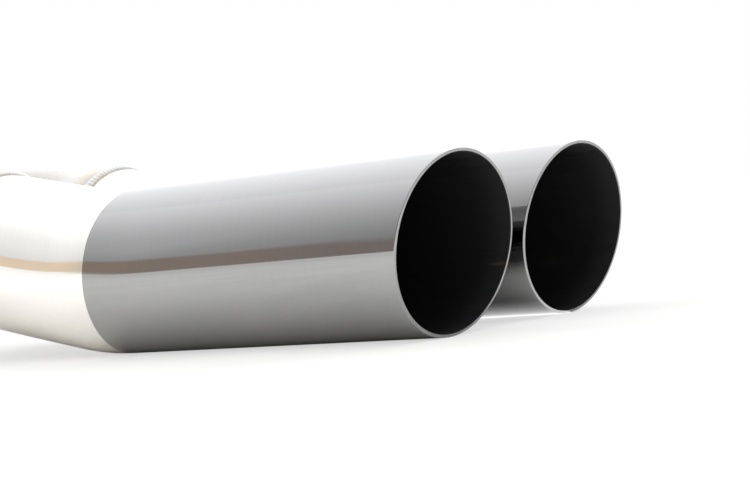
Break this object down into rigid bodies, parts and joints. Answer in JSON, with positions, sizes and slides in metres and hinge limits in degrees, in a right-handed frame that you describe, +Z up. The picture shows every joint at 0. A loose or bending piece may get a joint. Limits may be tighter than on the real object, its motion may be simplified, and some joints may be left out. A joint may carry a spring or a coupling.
{
  "type": "twin exhaust tip",
  "caption": "Twin slash-cut exhaust tip: two straight polished outlets side by side on rising feed pipes that merge in a pressed collector with a slip-on socket.",
  "frame": {"origin": "centre of the socket's open end, where the car's pipe goes in", "axes": "+X along the outlets towards their mouths, +Y from the near outlet to the far one, +Z up"},
  "size_m": [0.4203, 0.1704, 0.1146],
  "materials": {
    "outlet_steel": "mirror polished, dark tone",
    "feed_steel": "bright polished",
    "collector_steel": "satin, as pressed",
    "weld_metal": "rippled bead"
  },
  "bodies": {
    "root": {"near_tip": "outlet_steel", "far_tip": "outlet_steel", "near_feed_pipe": "feed_steel", "far_feed_pipe": "feed_steel", "collector_upper_shell": "collector_steel", "collector_lower_shell": "collector_steel", "inlet_socket": "collector_steel", "near_collar_weld": "weld_metal", "far_collar_weld": "weld_metal", "inlet_weld": "weld_metal"}
  },
  "joints": []
}
